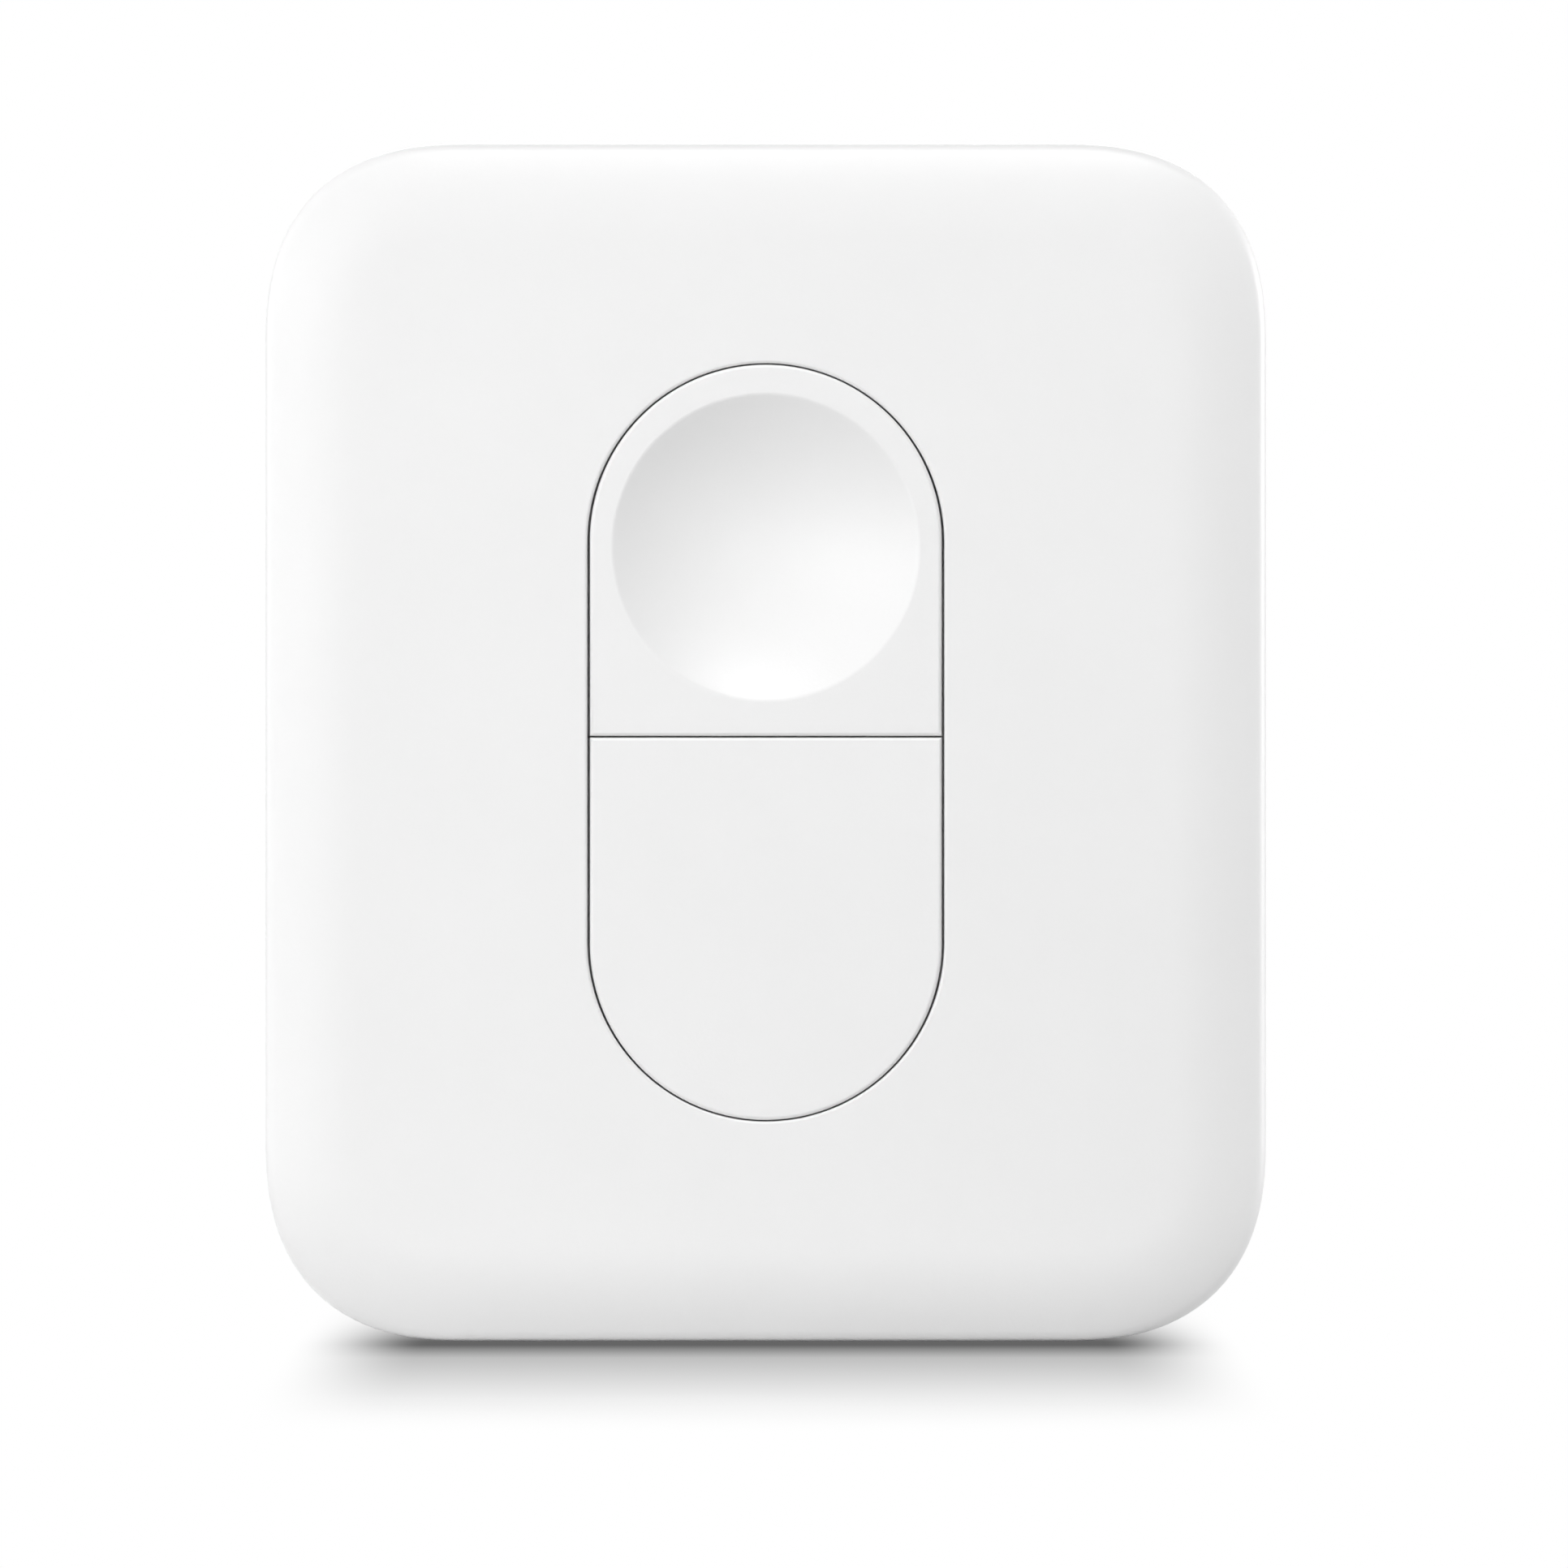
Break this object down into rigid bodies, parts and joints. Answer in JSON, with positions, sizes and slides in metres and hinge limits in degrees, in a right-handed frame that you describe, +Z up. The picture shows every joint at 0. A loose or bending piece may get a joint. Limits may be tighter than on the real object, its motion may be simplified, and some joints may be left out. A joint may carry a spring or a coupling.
{
  "type": "smart button",
  "caption": "Palm-sized wireless button: rounded white case, push keys in a pill-shaped opening with a dished upper key, and a coin-turned battery door at the back.",
  "frame": {"origin": "centre of the bounding box's foot, at the level of the edge it stands on", "axes": "+Z up along the case's height, -Y out of the front face, +X to the right as seen from the front"},
  "size_m": [0.036, 0.0124, 0.0431],
  "materials": {
    "shell": "satin",
    "keys": "satin",
    "door": "satin",
    "screw_steel": "satin",
    "foam": "matte",
    "silicone": "matte",
    "switch_plastic": "matte",
    "spring_steel": "satin",
    "board": "satin",
    "chip": "matte",
    "ceramic": "matte",
    "led": "gloss",
    "holder": "matte",
    "contacts": "satin",
    "cell_steel": "satin",
    "cell_seal": "matte",
    "cell_filling": "matte"
  },
  "bodies": {
    "housing": {"front_cover": "shell", "rear_cover": "shell", "case_screws": "screw_steel", "upper_adhesive_strip": "foam", "lower_adhesive_strip": "foam", "keypad": "silicone", "upper_switch_base": "switch_plastic", "upper_switch_dome": "spring_steel", "upper_switch_cover": "spring_steel", "lower_switch_base": "switch_plastic", "lower_switch_dome": "spring_steel", "lower_switch_cover": "spring_steel", "switch_terminals": "spring_steel", "circuit_board": "board", "radio_chip": "chip", "crystal": "spring_steel", "inductor": "chip", "chip_antenna": "ceramic", "status_led": "led", "capacitors": "ceramic", "resistors": "chip", "cell_holder": "holder", "negative_contact": "contacts", "positive_contact": "contacts", "cell_can": "cell_steel", "cell_cap": "cell_steel", "cell_gasket": "cell_seal", "cell_core": "cell_filling"},
    "upper_button": {"upper_key": "keys", "upper_switch_plunger": "switch_plastic"},
    "lower_button": {"lower_key": "keys", "lower_switch_plunger": "switch_plastic"},
    "door": {"battery_door": "door"}
  },
  "joints": [
    {"name": "upper_key_press", "type": "slide", "parent": "housing", "child": "upper_button", "axis": [0, 1, 0], "range_m": [0, 0.0003], "stiffness_N_per_m": 4000, "springref_m": -0.0001, "deforming": ["keypad", "upper_switch_dome"]},
    {"name": "lower_key_press", "type": "slide", "parent": "housing", "child": "lower_button", "axis": [0, 1, 0], "range_m": [0, 0.0003], "stiffness_N_per_m": 4000, "springref_m": -0.0001, "deforming": ["keypad", "lower_switch_dome"]},
    {"name": "battery_door_turn", "type": "hinge", "parent": "housing", "child": "door", "pos_m": [0, 0.0058, 0.02155], "axis": [0, 1, 0], "range_deg": [0, 35]}
  ]
}
